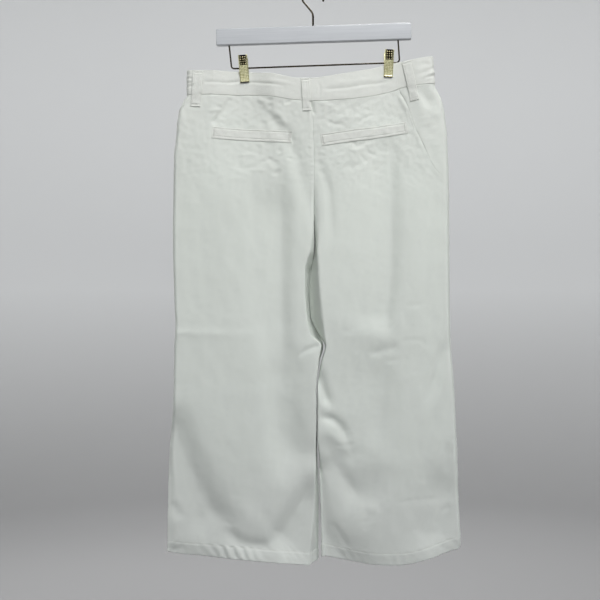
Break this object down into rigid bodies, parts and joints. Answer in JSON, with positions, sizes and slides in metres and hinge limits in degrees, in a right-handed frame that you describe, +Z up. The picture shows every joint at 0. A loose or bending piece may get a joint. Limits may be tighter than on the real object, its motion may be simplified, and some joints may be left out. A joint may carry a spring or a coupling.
{
  "type": "wide leg jeans on a clip hanger",
  "caption": "Long wide leg jeans in off-white twill, hung by the waistband from a wooden clip hanger, with belt loops, welt back pockets and wide turned hems.",
  "frame": {"origin": "inner crown of the hanger's hook, at the middle of its wire, where a rail carries it", "axes": "+Z up, +X to the right of someone who looks at the garment's back, +Y from the garment's back to its front"},
  "size_m": [0.535, 0.0482, 1.0592],
  "materials": {
    "twill": "off-white cotton twill, soft matt face with a fine diagonal rib",
    "button_metal": "dull plated shank button",
    "painted_wood": "smooth satin white paint over wood",
    "hanger_wire": "dark antique plated wire with bright worn highlights",
    "clip_metal": "pale gold plated sheet metal, finely brushed, with raised grip dots"
  },
  "bodies": {
    "root": {"back_left": "twill", "back_right": "twill", "front_left": "twill", "front_right": "twill", "waistband_back": "twill", "waistband_front_left": "twill", "waistband_front_right": "twill", "belt_loop_back_left": "twill", "belt_loop_centre": "twill", "belt_loop_back_right": "twill", "belt_loop_front_left": "twill", "belt_loop_front_right": "twill", "welt_left": "twill", "welt_right": "twill", "fly": "twill", "button": "button_metal", "hanger_bar": "painted_wood", "hook": "hanger_wire", "clip_wire": "hanger_wire", "clip_left_back_jaw": "clip_metal", "clip_left_front_jaw": "clip_metal", "clip_left_spring": "clip_metal", "clip_right_back_jaw": "clip_metal", "clip_right_front_jaw": "clip_metal", "clip_right_spring": "clip_metal"}
  },
  "joints": []
}
